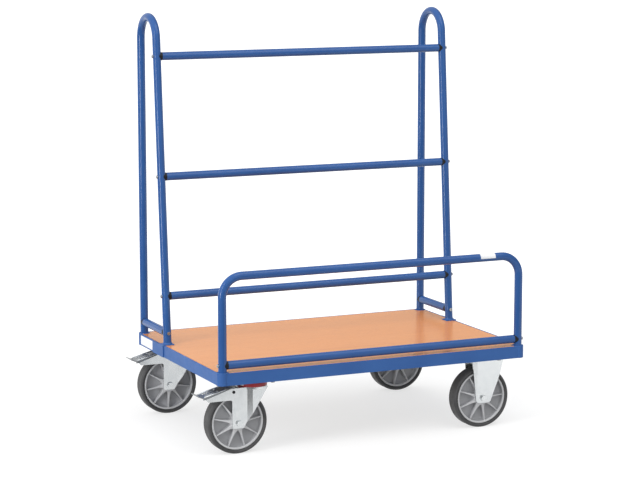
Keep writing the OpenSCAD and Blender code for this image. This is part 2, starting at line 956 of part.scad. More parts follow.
module pedal_pins(y) {
    inner = pedal_half - pedal_t - pin_stand;
    color(zinc)
        at_axle(-1, y)
            for (side = [0, 1])
                mirror([0, 0, side])
                    translate([-pivot_back, pivot_z, 0]) {
                        translate([0, 0, inner])
                            cylinder(d = pivot_d, h = fork_out - inner + over);
                        translate([0, 0, fork_out])
                            cylinder(d = pivot_d + 2 * pin_lip, h = pin_head_h);
                    }
}

// Shoe under the pedal, curved to the tyre when the pedal is down
module brake_shoe(y) {
    pivot = [-pivot_back, pivot_z];
    reach = wheel_r + pedal_reach;
    under = pedal_t / cos(pedal_slope);
    color(black)
        at_axle(-1, y)
            linear_extrude(shoe_w, center = true)
                intersection() {
                    translate(pivot)
                        rotate(-pedal_travel)
                            translate(-pivot)
                                polygon(concat(
                                    arc([0, 0], wheel_r + shoe_gap, shoe_from, shoe_to, 8),
                                    arc([0, 0], wheel_r + shoe_room, shoe_to, shoe_from, 1)
                                ));
                    polygon([[-reach, 0], [0, 0],
                             [0, pedal_top(0) - under], [-reach, pedal_top(-reach) - under]]);
                }
}

// Fixed castors: one pressed piece of a top plate and two legs with a narrow bent-in edge

module fixed_leg_side() {
    polygon(concat(
        arc([fixed_corner - leg_half, fixed_corner - leg_drop], fixed_corner, 180, 270),
        arc([fixed_toe - fixed_corner, fixed_corner - leg_drop], fixed_corner, 270, 330),
        fixed_back,
        [[-fixed_edge, fixed_top]]
    ));
}

module fixed_leg_plan() {
    out = -fixed_edge - over;
    far = fixed_far + over;
    bend = (fixed_edge + over - fixed_fold) * tan(fixed_bend);
    polygon([[out, fork_in - bend], [-fixed_fold, fork_in], [far, fork_in],
             [far, fork_out], [-fixed_fold, fork_out], [out, fork_out - bend]]);
}

module fixed_fork(y) {
    color(zinc)
        translate([castor_x, y * castor_y, 0])
            difference() {
                union() {
                    translate([0, 0, plate_z0])
                        rounded_plate(plate_l, plate_w, plate_r, plate_t);
                    for (side = [0, 1])
                        mirror([0, side, 0])
                            intersection() {
                                linear_extrude(plate_z1)
                                    fixed_leg_plan();
                                translate([0, 0, wheel_r])
                                    rotate([90, 0, 0])
                                        translate([0, 0, -2 * fork_out])
                                            linear_extrude(4 * fork_out)
                                                fixed_leg_side();
                            }
                }
                translate([0, 0, wheel_r])
                    rotate([90, 0, 0])
                        cylinder(d = axle_d + 2 * screw_gap, h = 4 * fork_out, center = true);
                bolt_holes(plate_z0, plate_t);
            }
}

// Assembly

long_rail(-1);  // front_rail
long_rail(1);  // rear_rail
side_rail(-1);  // left_rail
side_rail(1);  // right_rail
corner_socket(-1, -1);  // front_left_socket
corner_socket(1, -1);  // front_right_socket
corner_socket(-1, 1);  // rear_left_socket
corner_socket(1, 1);  // rear_right_socket
bearer(-1);  // left_bearer
bearer(1);  // right_bearer
deck_board();
front_hoop();
front_lower_rail();
a_frame(-1);  // left_a_frame
a_frame(1);  // right_a_frame
foot(-1);  // left_foot
foot(1);  // right_foot
tie_rail(-1);  // left_tie_rail
tie_rail(1);  // right_tie_rail
back_rail(0);  // lower_back_rail
back_rail(1);  // middle_back_rail
back_rail(2);  // top_back_rail
rail_saddles();
rail_screws();
post_screws();
castor_bolts();
castor_plate(-1);  // front_left_castor_plate
kingpin(-1);  // front_left_kingpin
swivel_balls(-1);  // front_left_swivel_balls
seal_ring(-1);  // front_left_seal_ring
swivel_fork(-1);  // front_left_fork
axle(-1, -1);  // front_left_axle
rim(-1, -1, front_left_turn);  // front_left_rim
tyre(-1, -1);  // front_left_tyre
bearings(-1, -1);  // front_left_bearings
pedal(-1);  // front_left_pedal
pedal_pins(-1);  // front_left_pedal_pins
brake_shoe(-1);  // front_left_brake_shoe
castor_plate(1);  // rear_left_castor_plate
kingpin(1);  // rear_left_kingpin
swivel_balls(1);  // rear_left_swivel_balls
seal_ring(1);  // rear_left_seal_ring
swivel_fork(1);  // rear_left_fork
axle(-1, 1);  // rear_left_axle
rim(-1, 1, rear_left_turn);  // rear_left_rim
tyre(-1, 1);  // rear_left_tyre
bearings(-1, 1);  // rear_left_bearings
pedal(1);  // rear_left_pedal
pedal_pins(1);  // rear_left_pedal_pins
brake_shoe(1);  // rear_left_brake_shoe
fixed_fork(-1);  // front_right_fork
axle(1, -1);  // front_right_axle
rim(1, -1, front_right_turn);  // front_right_rim
tyre(1, -1);  // front_right_tyre
bearings(1, -1);  // front_right_bearings
fixed_fork(1);  // rear_right_fork
axle(1, 1);  // rear_right_axle
rim(1, 1, rear_right_turn);  // rear_right_rim
tyre(1, 1);  // rear_right_tyre
bearings(1, 1);  // rear_right_bearings
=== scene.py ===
import json
import math

import bmesh
import bpy
from mathutils import Matrix, Vector

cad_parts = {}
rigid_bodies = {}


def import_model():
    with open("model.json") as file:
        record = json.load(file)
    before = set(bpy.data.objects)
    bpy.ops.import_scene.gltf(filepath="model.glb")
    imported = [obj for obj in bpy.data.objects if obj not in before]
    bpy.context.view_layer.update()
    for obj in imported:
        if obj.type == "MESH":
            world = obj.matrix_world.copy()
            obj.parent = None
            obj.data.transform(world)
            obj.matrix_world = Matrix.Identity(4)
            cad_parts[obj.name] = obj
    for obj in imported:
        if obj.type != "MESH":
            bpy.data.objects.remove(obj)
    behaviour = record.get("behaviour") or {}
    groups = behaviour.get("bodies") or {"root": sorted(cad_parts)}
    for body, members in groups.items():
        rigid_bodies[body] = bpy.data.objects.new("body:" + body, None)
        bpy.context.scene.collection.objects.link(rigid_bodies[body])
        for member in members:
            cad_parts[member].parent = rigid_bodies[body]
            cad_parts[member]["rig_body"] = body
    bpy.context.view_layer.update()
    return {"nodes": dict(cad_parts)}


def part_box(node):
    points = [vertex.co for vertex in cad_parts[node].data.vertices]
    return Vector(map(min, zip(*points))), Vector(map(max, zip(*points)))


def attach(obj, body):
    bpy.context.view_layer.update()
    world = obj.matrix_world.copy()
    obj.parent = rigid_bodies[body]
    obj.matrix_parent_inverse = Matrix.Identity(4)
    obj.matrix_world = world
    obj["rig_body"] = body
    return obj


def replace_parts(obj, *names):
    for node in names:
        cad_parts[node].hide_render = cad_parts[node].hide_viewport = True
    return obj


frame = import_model()
nodes = frame["nodes"]

# Edge rails, corner sockets and bearers: rolled steel angle, tube and channel, welded into one
# platform. It is sprayed with blue powder and baked after welding, so its edges are soft and the
# skin has the fine ripple of baked powder.
RAILS = ("front_rail", "rear_rail", "left_rail", "right_rail", "left_bearer", "right_bearer")
SOCKETS = ("front_left_socket", "front_right_socket", "rear_left_socket", "rear_right_socket")
RAIL_EDGE, SOCKET_EDGE = 0.0008, 0.0006
HAIR = 0.0001


def srgb(r, g, b):
    """A colour as it is read off a screen, 0 to 255, in the linear values that shaders take."""
    return tuple(((c / 255 + 0.055) / 1.055) ** 2.4 if c > 10 else c / 255 / 12.92
                 for c in (r, g, b)) + (1,)


def effect_group(name, inputs, output):
    """An empty shader group with a vector and named float inputs, and one float output."""
    group = bpy.data.node_groups.new(name, "ShaderNodeTree")
    group.interface.new_socket("Vector", in_out="INPUT", socket_type="NodeSocketVector")
    for socket in inputs:
        group.interface.new_socket(socket, in_out="INPUT", socket_type="NodeSocketFloat")
    group.interface.new_socket(output, in_out="OUTPUT", socket_type="NodeSocketFloat")
    return group, group.nodes.new("NodeGroupInput"), group.nodes.new("NodeGroupOutput")


def patches_group():
    """Soft patches that wander between a low and a high value: the base of every uneven finish."""
    group, asked, given = effect_group("patches", ("Scale", "Low", "High"), "Value")
    noise = group.nodes.new("ShaderNodeTexNoise")
    spread = group.nodes.new("ShaderNodeMapRange")
    noise.inputs["Detail"].default_value = 4
    spread.inputs["From Min"].default_value = 0.3
    spread.inputs["From Max"].default_value = 0.7
    group.links.new(asked.outputs["Vector"], noise.inputs["Vector"])
    group.links.new(asked.outputs["Scale"], noise.inputs["Scale"])
    group.links.new(noise.outputs["Fac"], spread.inputs["Value"])
    group.links.new(asked.outputs["Low"], spread.inputs["To Min"])
    group.links.new(asked.outputs["High"], spread.inputs["To Max"])
    group.links.new(spread.outputs["Result"], given.inputs["Value"])
    return group


def edge_wear_highlight_group():
    """Edges painted paler in places, partly wear from handling and partly painted highlight: the piece's own
    edge mark, broken up by patches.
    """
    group, asked, given = effect_group("edge_wear_highlight_tree", ("Edge", "Scale"), "Mask")
    noise = group.nodes.new("ShaderNodeTexNoise")
    broken = group.nodes.new("ShaderNodeMapRange")
    mask = group.nodes.new("ShaderNodeMath")
    mask.operation = "MULTIPLY"
    noise.inputs["Detail"].default_value = 3
    broken.inputs["From Min"].default_value = 0.42
    broken.inputs["From Max"].default_value = 0.62
    group.links.new(asked.outputs["Vector"], noise.inputs["Vector"])
    group.links.new(asked.outputs["Scale"], noise.inputs["Scale"])
    group.links.new(noise.outputs["Fac"], broken.inputs["Value"])
    group.links.new(broken.outputs["Result"], mask.inputs[0])
    group.links.new(asked.outputs["Edge"], mask.inputs[1])
    group.links.new(mask.outputs[0], given.inputs["Mask"])
    return group


patches = patches_group()
edge_wear_highlight_tree = edge_wear_highlight_group()


def finish(name, metallic=0.0, specular=0.5):
    """An empty finish: its material, node tree, shader and the piece's own coordinates."""
    material = bpy.data.materials.new(name)
    material.use_nodes = True
    tree = material.node_tree
    shader = tree.nodes["Principled BSDF"]
    shader.inputs["Metallic"].default_value = metallic
    shader.inputs["Specular IOR Level"].default_value = specular
    return material, tree, shader, tree.nodes.new("ShaderNodeTexCoord").outputs["Object"]


def vary(tree, vector, scale, low=0, high=1):
    """Patches of a finish, so many to the metre, that wander from low to high."""
    node = tree.nodes.new("ShaderNodeGroup")
    node.node_tree = patches
    node.inputs["Scale"].default_value = scale
    node.inputs["Low"].default_value = low
    node.inputs["High"].default_value = high
    tree.links.new(vector, node.inputs["Vector"])
    return node.outputs["Value"]


def edge_wear_and_highlight(tree, vector, scale):
    """1 where a rounded edge shows wear and a painted highlight, and 0 on the rest of the piece."""
    edge = tree.nodes.new("ShaderNodeAttribute")
    edge.attribute_name = "edge"
    node = tree.nodes.new("ShaderNodeGroup")
    node.node_tree = edge_wear_highlight_tree
    node.inputs["Scale"].default_value = scale
    tree.links.new(vector, node.inputs["Vector"])
    tree.links.new(edge.outputs["Fac"], node.inputs["Edge"])
    return node.outputs["Mask"]


def two_tone(tree, factor, a, b):
    """The first colour where the factor is 0 and the second where it is 1."""
    mix = tree.nodes.new("ShaderNodeMix")
    mix.data_type = "RGBA"
    for socket, colour in ((mix.inputs[6], a), (mix.inputs[7], b)):
        if isinstance(colour, bpy.types.NodeSocket):
            tree.links.new(colour, socket)
        else:
            socket.default_value = colour
    tree.links.new(factor, mix.inputs[0])
    return mix.outputs[2]


def lay_on(tree, shader, colour, roughness):
    """Gives a finish its colour and its roughness."""
    tree.links.new(colour, shader.inputs["Base Color"])
    tree.links.new(roughness, shader.inputs["Roughness"])


def raise_by(tree, shader, height, depth):
    """Bump from a height that changes over the surface, with a stated depth in metres."""
    bump = tree.nodes.new("ShaderNodeBump")
    bump.inputs["Strength"].default_value = 1
    bump.inputs["Distance"].default_value = depth
    tree.links.new(height, bump.inputs["Height"])
    tree.links.new(bump.outputs["Normal"], shader.inputs["Normal"])


def blue_powder(name, specular, low, high, smooth, rough):
    """Baked blue powder between two blues, as smooth or as rough as the steel below lets it run."""
    material, tree, shader, place = finish(name, specular=specular)
    skin = two_tone(tree, vary(tree, place, scale=9), low, high)
    # Rounded edges painted paler: part wear, part painted highlight.
    wear_and_highlight_skin = two_tone(tree, edge_wear_and_highlight(tree, place, scale=45), skin, srgb(80, 121, 184))
    lay_on(tree, shader, wear_and_highlight_skin, vary(tree, place, scale=60, low=smooth, high=rough))
    raise_by(tree, shader, vary(tree, place, scale=420), depth=0.00001)
    return material


def piece_from(mesh, name, material, body):
    """Makes a finished bmesh a smoothly shaded object that rides on a body."""
    for face in mesh.faces:
        face.smooth = True
    data = bpy.data.meshes.new(name)
    mesh.to_mesh(data)
    mesh.free()
    data.set_sharp_from_angle(angle=math.radians(50))
    data.materials.append(material)
    piece = bpy.data.objects.new(name, data)
    bpy.context.scene.collection.objects.link(piece)
    even = piece.modifiers.new("even_shading", "WEIGHTED_NORMAL")
    even.keep_sharp = True
    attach(piece, body)
    return piece


def round_edges(mesh, edges, radius, steps=2):
    """Rounds edges and marks the new faces as edges, so that a finish can paint wear and a painted highlight
    there.
    """
    mark = mesh.loops.layers.float.get("edge") or mesh.loops.layers.float.new("edge")
    made = bmesh.ops.bevel(mesh, geom=edges, offset=radius, offset_type="OFFSET", affect="EDGES",
                           segments=steps, profile=0.5, material=-1, clamp_overlap=True)
    for face in made["faces"]:
        for loop in face.loops:
            loop[mark] = 1


def sharp_edges(mesh, angle=35):
    """The edges between two faces that turn by more than an angle, in degrees."""
    return [e for e in mesh.edges if len(e.link_faces) == 2 and e.calc_face_angle() > math.radians(angle)]


def frame_copy(node):
    """A merged copy of a frame piece's mesh, with its flat faces whole again."""
    mesh = bmesh.new()
    mesh.from_mesh(nodes[node].data)
    bmesh.ops.remove_doubles(mesh, verts=mesh.verts, dist=0.000002)
    bmesh.ops.dissolve_limit(mesh, angle_limit=math.radians(0.5), verts=mesh.verts, edges=mesh.edges)
    return mesh


def soft_edged(node, material, radius, steps=2, top_fold=0, angle=35):
    """A copy of a frame piece with rounded edges. A pressing's top edge can have a wider fold."""
    mesh = frame_copy(node)
    if top_fold:
        top = max(v.co.z for v in mesh.verts) - HAIR
        outer = [e for e in sharp_edges(mesh) if all(v.co.z > top for v in e.verts)]
        round_edges(mesh, outer, top_fold, steps=4)
    round_edges(mesh, sharp_edges(mesh, angle), radius, steps)
    piece = piece_from(mesh, node + "_finished", material, nodes[node]["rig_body"])
    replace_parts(piece, node)
    return piece


blue = blue_powder("blue_powder_coat", specular=0.2, low=srgb(57, 97, 160), high=srgb(62, 104, 168),
                   smooth=0.4, rough=0.5)
for rail in RAILS:
    soft_edged(rail, blue, RAIL_EDGE)
for corner in SOCKETS:
    soft_edged(corner, blue, SOCKET_EDGE)

# Deck: one board of particle board faced with beech, sawn to size, lacquered on top and dropped
# flush between the rails. The grain runs the long way of the cart, and the underside is plain.
DECK_EDGE = 0.001
FACING_T = 0.0009
deck_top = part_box("deck_board")[1][2]


def stretched(tree, vector, scale):
    """Coordinates drawn out along a piece, for grain and brushing."""
    mapping = tree.nodes.new("ShaderNodeMapping")
    mapping.inputs["Scale"].default_value = scale
    tree.links.new(vector, mapping.inputs["Vector"])
    return mapping.outputs["Vector"]


def lacquered_beech():
    """Beech with broad and fine grain and darker flecks on its face, and pressed chips below that."""
    material, tree, shader, place = finish("lacquered_beech", specular=0.36)
    broad = vary(tree, stretched(tree, place, (0.8, 9, 9)), scale=3)
    fine = vary(tree, stretched(tree, place, (6, 190, 190)), scale=3)
    flecks = vary(tree, stretched(tree, place, (60, 520, 520)), scale=1.6, low=-1.6)
    ground = two_tone(tree, broad, srgb(240, 156, 85), srgb(244, 163, 91))
    grained = two_tone(tree, fine, ground, srgb(241, 158, 87))
    face = two_tone(tree, flecks, grained, srgb(231, 146, 77))
    chips = two_tone(tree, vary(tree, place, scale=260), srgb(176, 160, 142), srgb(198, 183, 164))
    height = tree.nodes.new("ShaderNodeSeparateXYZ")
    is_face = tree.nodes.new("ShaderNodeMath")
    is_face.operation = "GREATER_THAN"
    is_face.inputs[1].default_value = deck_top - FACING_T
    tree.links.new(place, height.inputs[0])
    tree.links.new(height.outputs["Z"], is_face.inputs[0])
    lacquer = vary(tree, stretched(tree, place, (8, 60, 60)), scale=3, low=0.2, high=0.27)
    lay_on(tree, shader, two_tone(tree, is_face.outputs[0], chips, face), lacquer)
    raise_by(tree, shader, fine, depth=0.00001)
    return material


beech = lacquered_beech()
soft_edged("deck_board", beech, DECK_EDGE)

# Front hoop, its lower rail, the two hairpin end frames, their feet and the rails between them:
# drawn steel tube, bent cold and powder coated with the platform's blue, which runs out glossier
# on smooth tube. On the tubes that blue is painted darker than on the platform, as painted shade.
# The tubes keep the frame's own form, and only the feet get rounded edges.
TUBES = ("front_hoop", "front_lower_rail", "left_a_frame", "right_a_frame", "left_tie_rail",
         "right_tie_rail", "lower_back_rail", "middle_back_rail", "top_back_rail")
FEET = ("left_foot", "right_foot")
FOOT_EDGE = 0.0006


def dress(node, material):
    """Gives a frame piece that is right as it is its finish."""
    nodes[node].data.materials.clear()
    nodes[node].data.materials.append(material)


# The tubes' blues are darker than the platform's for the same paint: painted shade.
darkened_tube_blue = blue_powder("painted_shade_blue_on_tube", specular=0.3, low=srgb(46, 86, 147), high=srgb(51, 93, 155),
                         smooth=0.16, rough=0.2)
for tube in TUBES:
    dress(tube, darkened_tube_blue)
for foot in FEET:
    soft_edged(foot, blue, FOOT_EDGE)

# Bare white plates: a strip of plastic film wrapped round the top of the hoop near its right bend,
# and a thin plate stuck on the left rail between the rear socket and the foot.
TUBE_R = 0.01345
FILM_T = 0.00025
FILM_FROM, FILM_TO = 0.376, 0.43
FILM_START, FILM_SWEEP = math.radians(-98), math.radians(122)
FILM_STEPS = 28
PLATE_FROM, PLATE_TO = 0.228, 0.34
PLATE_MARGIN = 0.005
PLATE_CORNER = 0.003
PLATE_T, PLATE_EDGE = 0.0008, 0.0003


def white_film():
    material, tree, shader, place = finish("white_film")
    skin = two_tone(tree, vary(tree, place, scale=35), srgb(236, 238, 242), srgb(246, 247, 249))
    lay_on(tree, shader, skin, vary(tree, place, scale=120, low=0.28, high=0.4))
    return material


def rounded_blank(length, width, corner):
    """A flat rectangle with rounded corners, as it is cut before it gets its thickness."""
    mesh = bmesh.new()
    bmesh.ops.create_grid(mesh, x_segments=1, y_segments=1, size=0.5)
    bmesh.ops.scale(mesh, verts=mesh.verts, vec=(length, width, 1))
    bmesh.ops.bevel(mesh, geom=mesh.verts[:], offset=corner, offset_type="OFFSET", affect="VERTICES",
                    segments=4, profile=0.5, material=-1)
    return mesh


def verts_of(geom):
    """The vertices among what an operator made."""
    return [part for part in geom if isinstance(part, bmesh.types.BMVert)]


def thicken(mesh, height, edge):
    """Raises a flat outline to a height, and rounds the edges of its upper face."""
    raised = bmesh.ops.extrude_face_region(mesh, geom=mesh.faces[:])["geom"]
    bmesh.ops.translate(mesh, verts=verts_of(raised), vec=(0, 0, height))
    bmesh.ops.recalc_face_normals(mesh, faces=mesh.faces)
    upper = [e for e in sharp_edges(mesh) if all(v.co.z > height / 2 for v in e.verts)]
    round_edges(mesh, upper, edge)


film = white_film()
hoop_low, hoop_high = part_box("front_hoop")
hoop_axis = Vector((0, (hoop_low[1] + hoop_high[1]) / 2, hoop_high[2] - TUBE_R))
mesh = bmesh.new()
seam = [mesh.verts.new(hoop_axis + Vector((x, 0, TUBE_R + FILM_T))) for x in (FILM_FROM, FILM_TO)]
bmesh.ops.spin(mesh, geom=seam + [mesh.edges.new(seam)], cent=hoop_axis, axis=(-1, 0, 0),
               angle=FILM_SWEEP, steps=FILM_STEPS)
bmesh.ops.rotate(mesh, verts=mesh.verts, cent=hoop_axis, matrix=Matrix.Rotation(-FILM_START, 3, "X"))
bmesh.ops.recalc_face_normals(mesh, faces=mesh.faces)
bmesh.ops.solidify(mesh, geom=mesh.faces[:], thickness=FILM_T)
piece_from(mesh, "hoop_film", film, "chassis")

rail_low, rail_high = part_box("left_rail")
plate_h = rail_high[2] - rail_low[2] - 2 * PLATE_MARGIN
plate_middle = Vector((rail_low[0], (PLATE_FROM + PLATE_TO) / 2, (rail_low[2] + rail_high[2]) / 2))
mesh = rounded_blank(plate_h, PLATE_TO - PLATE_FROM, PLATE_CORNER)
thicken(mesh, PLATE_T, PLATE_EDGE)
bmesh.ops.transform(mesh, verts=mesh.verts,
                    matrix=Matrix.Translation(plate_middle) @ Matrix.Rotation(-math.pi / 2, 4, "Y"))
piece_from(mesh, "rail_plate", film, "chassis")

# Saddles: black moulded plastic shoes, shaped to the leg's curve, that seat the end of each rail
# against a leg. A spigot on the back of each one sits in the bore of the rail.


def black_moulding():
    material, tree, shader, place = finish("black_moulding", specular=0.3)
    skin = two_tone(tree, vary(tree, place, scale=70), srgb(13, 13, 15), srgb(22, 22, 25))
    lay_on(tree, shader, skin, vary(tree, place, scale=150, low=0.45, high=0.6))
    raise_by(tree, shader, vary(tree, place, scale=900), depth=0.00002)
    return material


black = black_moulding()
dress("rail_saddles", black)

# Screws and bolts: zinc plated steel. Round heads with a hexagon socket pull the rails against the
# legs, cap screws in recesses under the corner sockets hold the posts, and hexagon bolts with nuts
# hold the castors.
RAIL_SCREW_EDGE, POST_SCREW_EDGE, BOLT_EDGE = 0.0008, 0.0006, 0.0005


def zinc_plate(name, low, high, edge_wear_highlight_colour):
    """Zinc plating between two greys, with its edges painted brighter: wear and painted highlight."""
    material, tree, shader, place = finish(name, metallic=0.9)
    skin = two_tone(tree, vary(tree, place, scale=38), low, high)
    # Rounded edges painted brighter: part wear, part painted highlight.
    wear_and_highlight_skin = two_tone(tree, edge_wear_and_highlight(tree, place, scale=60), skin, edge_wear_highlight_colour)
    lay_on(tree, shader, wear_and_highlight_skin, vary(tree, place, scale=90, low=0.21, high=0.26))
    raise_by(tree, shader, vary(tree, place, scale=260), depth=0.000001)
    return material


# The last grey is for the rounded edges: wear and painted highlight.
dull_zinc = zinc_plate("dull_zinc", srgb(146, 149, 152), srgb(164, 167, 170), srgb(190, 193, 195))
soft_edged("rail_screws", dull_zinc, RAIL_SCREW_EDGE, steps=3)
soft_edged("post_screws", dull_zinc, POST_SCREW_EDGE)
soft_edged("castor_bolts", dull_zinc, BOLT_EDGE)

# Castor plates, kingpins, balls and forks: pressed and turned steel, zinc plated bright. The fork
# of a swivel castor is one pressing whose crown runs on balls under the plate, and a fixed fork
# has its plate in one piece with the legs.
SWIVEL_CASTORS = ("front_left", "rear_left")
FIXED_CASTORS = ("front_right", "rear_right")
CASTOR_PLATE_EDGE, FORK_EDGE, AXLE_EDGE = 0.0008, 0.0009, 0.0009
CROWN_FOLD = 0.0028
SWIVEL_FOLD_ANGLE, FIXED_FOLD_ANGLE = 20, 13

# The last grey is for the rounded edges: wear and painted highlight.
zinc = zinc_plate("bright_zinc", srgb(214, 218, 220), srgb(222, 225, 226), srgb(238, 240, 241))
for castor in SWIVEL_CASTORS:
    soft_edged(castor + "_castor_plate", zinc, CASTOR_PLATE_EDGE)
    dress(castor + "_kingpin", zinc)
    dress(castor + "_swivel_balls", zinc)
    soft_edged(castor + "_fork", zinc, FORK_EDGE, top_fold=CROWN_FOLD, angle=SWIVEL_FOLD_ANGLE)
for castor in FIXED_CASTORS:
    soft_edged(castor + "_fork", zinc, FORK_EDGE, angle=FIXED_FOLD_ANGLE)
for castor in SWIVEL_CASTORS + FIXED_CASTORS:
    soft_edged(castor + "_axle", zinc, AXLE_EDGE, steps=3)

# Seal rings: red moulded plastic, one round each swivel castor's ball race, under its plate, where
# it keeps grit out of the balls.
SEAL_EDGE = 0.0012


def red_seal():
    material, tree, shader, place = finish("red_seal")
    skin = two_tone(tree, vary(tree, place, scale=45), srgb(146, 30, 40), srgb(164, 40, 50))
    lay_on(tree, shader, skin, vary(tree, place, scale=120, low=0.32, high=0.46))
    raise_by(tree, shader, vary(tree, place, scale=700), depth=0.00001)
    return material


red = red_seal()
for castor in SWIVEL_CASTORS:
    soft_edged(castor + "_seal_ring", red, SEAL_EDGE, steps=3)

# Rims: grey moulded polyamide with a web in the middle and nine ribs on each face that widen in
# a curve where they grow out of the hub. Each rim is bonded into its tyre. The outlines below are
# in millimetres: radius and offset from the wheel's middle, and radius and half width of a rib.
HUB = [(16.1, -27.5), (23, -27.5), (23.7, -27.2), (24, -26.5), (24.3, -7), (25.2, -4.8), (27.5, -3.6)]
WEB = [(72, -3.5), (76, -4.1), (78.6, -6.2), (79.8, -10)]
RING = [(80.5, -18.9), (80.9, -19.7), (81.8, -20), (85.4, -20), (86.2, -19.7), (86.5, -19)]
RIBS = 9
RIB_TURN = {"front_left": 8, "rear_left": 30, "front_right": 1.5, "rear_right": 20}
RIB_FROM, RIB_RUN = 22.5, 58
RIB_SIDES = [(RIB_FROM, 7.6), (25, 6.6), (28, 5.4), (32, 4.2), (38, 3.1), (46, 2.5), (58, 2.1), (72, 1.9),
             (80.6, 2.2)]
RIB_ROOT_H, RIB_DROP, RIB_CURVE = 25.4, 8.6, 0.8
RIB_EDGE = 0.0011
# Painted highlight: between these two distances from the web's middle the rim turns paler.
RAISED_HIGHLIGHT_FROM, RAISED_HIGHLIGHT_TO = 0.012, 0.02


def wheel_centre(wheel):
    """The middle of a wheel, read off its tyre."""
    low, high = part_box(wheel + "_tyre")
    return (Vector(low) + Vector(high)) / 2


def turned(mesh, outline, steps=96):
    """Spins a closed outline of radius and offset, in millimetres, about the wheel's axle."""
    ring = [mesh.verts.new((r / 1000, y / 1000, 0)) for r, y in outline]
    edges = [mesh.edges.new((a, b)) for a, b in zip(ring, ring[1:] + ring[:1])]
    bmesh.ops.spin(mesh, geom=ring + edges, cent=(0, 0, 0), axis=(0, 1, 0), angle=math.tau,
                   steps=steps, use_merge=True)
    bmesh.ops.recalc_face_normals(mesh, faces=mesh.faces)


def both_faces(half):
    """An outline from its front half: the same points again on the back, in reverse."""
    return half + [(r, -y) for r, y in reversed(half)]


def ribs_mesh():
    """All ribs of a rim: one raised from its outline, mirrored to the back and carried round."""
    rib = bmesh.new()
    outline = RIB_SIDES + [(r, -w) for r, w in reversed(RIB_SIDES)]
    foot = rib.faces.new([rib.verts.new((r / 1000, 0, w / 1000)) for r, w in outline])
    top = verts_of(bmesh.ops.extrude_face_region(rib, geom=[foot])["geom"])
    for v in top:
        out = (v.co.x * 1000 - RIB_FROM) / RIB_RUN
        v.co.y = -(RIB_ROOT_H - RIB_DROP * out ** RIB_CURVE) / 1000
    edges = [e for e in rib.edges if all(v in top for v in e.verts)]
    bmesh.ops.bevel(rib, geom=edges, offset=RIB_EDGE, offset_type="OFFSET", affect="EDGES", segments=2,
                    profile=0.5, material=-1)
    bmesh.ops.mirror(rib, geom=rib.verts[:] + rib.edges[:] + rib.faces[:], matrix=Matrix.Identity(4),
                     merge_dist=0, axis="Y")
    bmesh.ops.spin(rib, geom=rib.verts[:] + rib.edges[:] + rib.faces[:], cent=(0, 0, 0), axis=(0, 1, 0),
                   angle=math.tau * (RIBS - 1) / RIBS, steps=RIBS - 1, use_duplicate=True)
    bmesh.ops.recalc_face_normals(rib, faces=rib.faces)
    return rib


def rim_mesh():
    """Hub, web and ring turned in one, with the ribs standing in them."""
    mesh = bmesh.new()
    turned(mesh, both_faces(HUB + WEB + RING))
    rib = ribs_mesh()
    ribs = bpy.data.meshes.new("ribs")
    rib.to_mesh(ribs)
    rib.free()
    mesh.from_mesh(ribs)
    bpy.data.meshes.remove(ribs)
    return mesh


def grey_polyamide():
    """Moulded grey, painted paler where the ribs and the ring stand out from the web: a painted highlight.
    """
    material, tree, shader, place = finish("grey_polyamide")
    body = two_tone(tree, vary(tree, place, scale=26), srgb(166, 167, 170), srgb(176, 177, 180))
    apart = tree.nodes.new("ShaderNodeSeparateXYZ")
    side = tree.nodes.new("ShaderNodeMath")
    off_web = tree.nodes.new("ShaderNodeMath")
    depth = tree.nodes.new("ShaderNodeMath")
    raised_highlight_ramp = tree.nodes.new("ShaderNodeMapRange")
    side.operation = "ABSOLUTE"
    off_web.operation = "SUBTRACT"
    off_web.inputs[1].default_value = abs(wheel_centre("front_left").y)
    depth.operation = "ABSOLUTE"
    raised_highlight_ramp.inputs["From Min"].default_value = RAISED_HIGHLIGHT_FROM
    raised_highlight_ramp.inputs["From Max"].default_value = RAISED_HIGHLIGHT_TO
    tree.links.new(place, apart.inputs[0])
    tree.links.new(apart.outputs["Y"], side.inputs[0])
    tree.links.new(side.outputs[0], off_web.inputs[0])
    tree.links.new(off_web.outputs[0], depth.inputs[0])
    tree.links.new(depth.outputs[0], raised_highlight_ramp.inputs["Value"])
    # The ribs and the ring painted paler than the web, as a painted highlight.
    raised_highlight_colour = two_tone(tree, raised_highlight_ramp.outputs["Result"], body, srgb(206, 207, 209))
    lay_on(tree, shader, raised_highlight_colour, vary(tree, place, scale=110, low=0.38, high=0.52))
    raise_by(tree, shader, vary(tree, place, scale=800), depth=0.00002)
    return material


polyamide = grey_polyamide()
for wheel, turn in RIB_TURN.items():
    mesh = rim_mesh()
    bmesh.ops.transform(mesh, verts=mesh.verts, matrix=Matrix.Translation(wheel_centre(wheel))
                        @ Matrix.Rotation(-math.radians(turn), 4, "Y"))
    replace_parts(piece_from(mesh, wheel + "_rim_moulding", polyamide, wheel + "_wheel"), wheel + "_rim")

# Tyres: solid grey-black elastic rubber, moulded round the rim, with round shoulders and a plain
# tread. The bearing rings in the hub, on which each wheel turns, get their finish here too.
TYRE_SEAT = [(86.9, -19.4), (87.4, -20), (88.6, -20.5), (89.2, -20.3), (89.8, -20.9), (91.5, -22.2)]
SHOULDER_AT, SHOULDER_R = (93, -16), 7
TREAD = [(100, -8)]


def tyre_mesh():
    """Seat, shoulder and tread, turned about the axle."""
    mesh = bmesh.new()
    middle_r, middle_y = SHOULDER_AT
    shoulder = [(middle_r + SHOULDER_R * math.sin(math.radians(a)),
                 middle_y - SHOULDER_R * math.cos(math.radians(a))) for a in range(0, 91, 15)]
    turned(mesh, both_faces(TYRE_SEAT + shoulder + TREAD), steps=128)
    return mesh


